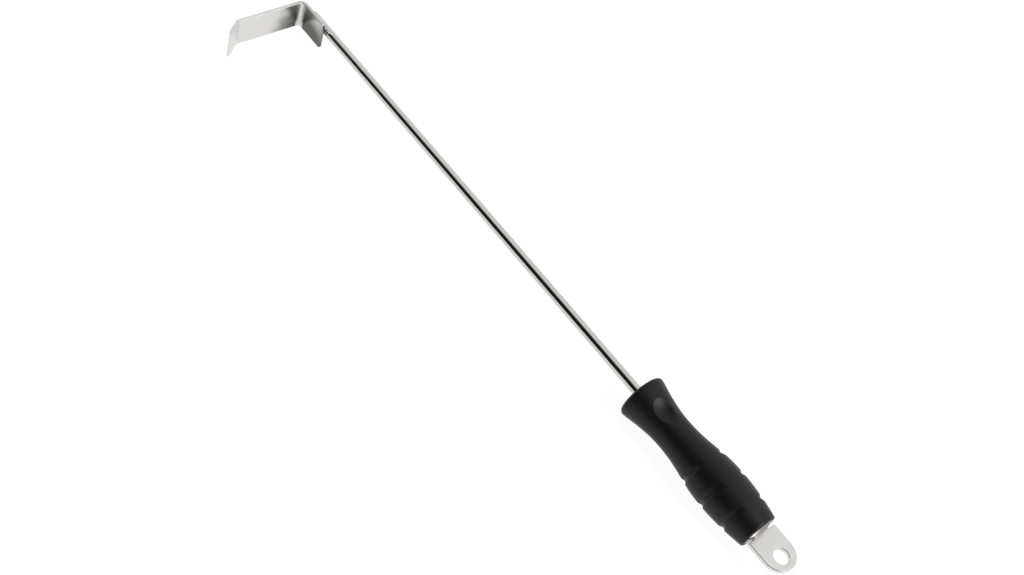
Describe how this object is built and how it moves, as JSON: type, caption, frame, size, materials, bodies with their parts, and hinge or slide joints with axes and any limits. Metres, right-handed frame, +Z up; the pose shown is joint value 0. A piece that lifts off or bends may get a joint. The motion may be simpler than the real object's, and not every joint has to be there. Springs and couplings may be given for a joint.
{
  "type": "hive tool",
  "caption": "Long-handled hive tool: a bent flat-steel scraper blade on a round polished rod, with a grooved black grip and a flat hang tab.",
  "frame": {"origin": "under the middle of the tool's bounding box, on the surface that the tool lies on", "axes": "+X along the rod towards the hang tab, the blade reaches towards -Y, +Z up and square to the hang tab"},
  "size_m": [0.6, 0.1022, 0.0384],
  "materials": {
    "satin_steel": "satin-ground stainless steel",
    "polished_steel": "polished stainless steel bar",
    "weld_steel": "cleaned stainless weld",
    "core_plastic": "moulded polypropylene",
    "grip_rubber": "matte moulded thermoplastic rubber"
  },
  "bodies": {
    "root": {"blade": "satin_steel", "blade_weld_upper": "weld_steel", "blade_weld_lower": "weld_steel", "rod": "polished_steel", "grip_core": "core_plastic", "grip_sleeve": "grip_rubber", "end_washer": "satin_steel", "tang_plate": "satin_steel", "tang_weld": "weld_steel"}
  },
  "joints": []
}
